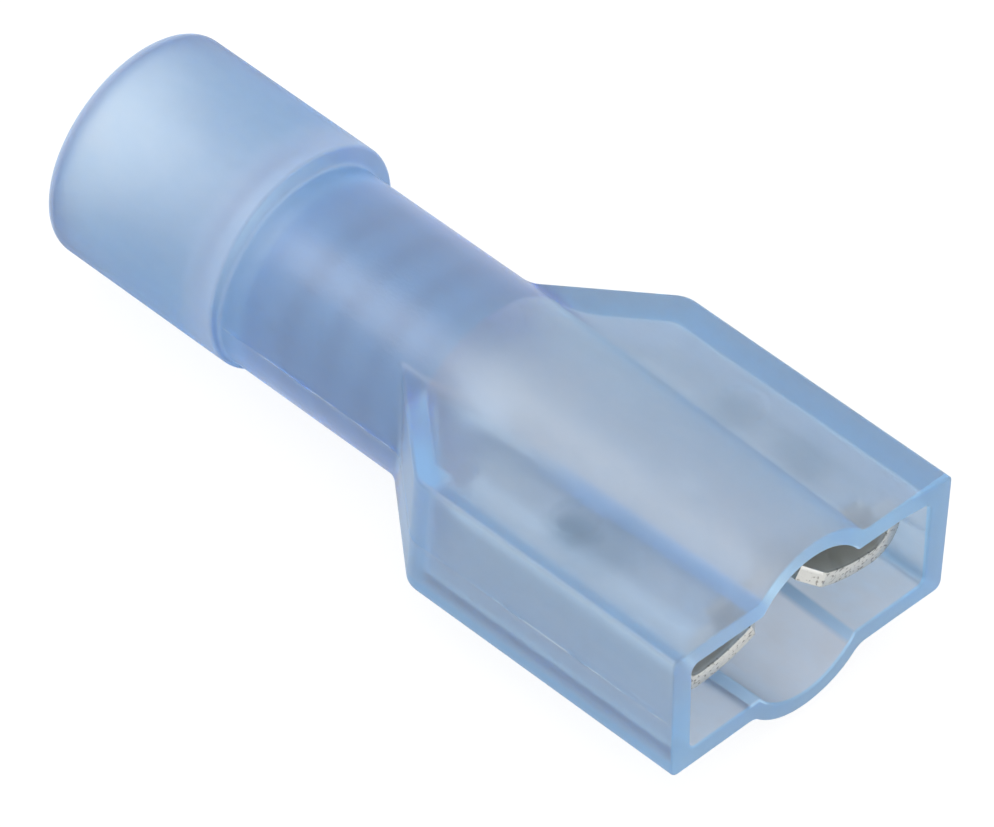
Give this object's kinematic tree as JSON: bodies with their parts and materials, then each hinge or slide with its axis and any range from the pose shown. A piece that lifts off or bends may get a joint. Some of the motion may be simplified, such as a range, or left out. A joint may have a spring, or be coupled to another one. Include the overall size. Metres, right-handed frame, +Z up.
{
  "type": "insulated receptacle blade terminal",
  "caption": "Push-on receptacle for a flat tab: translucent nylon housing with a flared wire entry, round neck and flat open box over a rolled sheet contact with a crimp barrel.",
  "frame": {"origin": "centre of the wire entry, on the axis of the bell at its open end", "axes": "+X from the wire entry to the mouth for the tab, +Z up, square to the tab, away from the lips and towards the contact's flat base"},
  "size_m": [0.0216, 0.009, 0.006],
  "materials": {
    "nylon": "translucent pale blue moulded nylon, satin",
    "tinned_brass": "bright tin plate with bare cut edges"
  },
  "bodies": {
    "root": {"nylon_housing": "nylon", "receptacle_contact": "tinned_brass"}
  },
  "joints": []
}
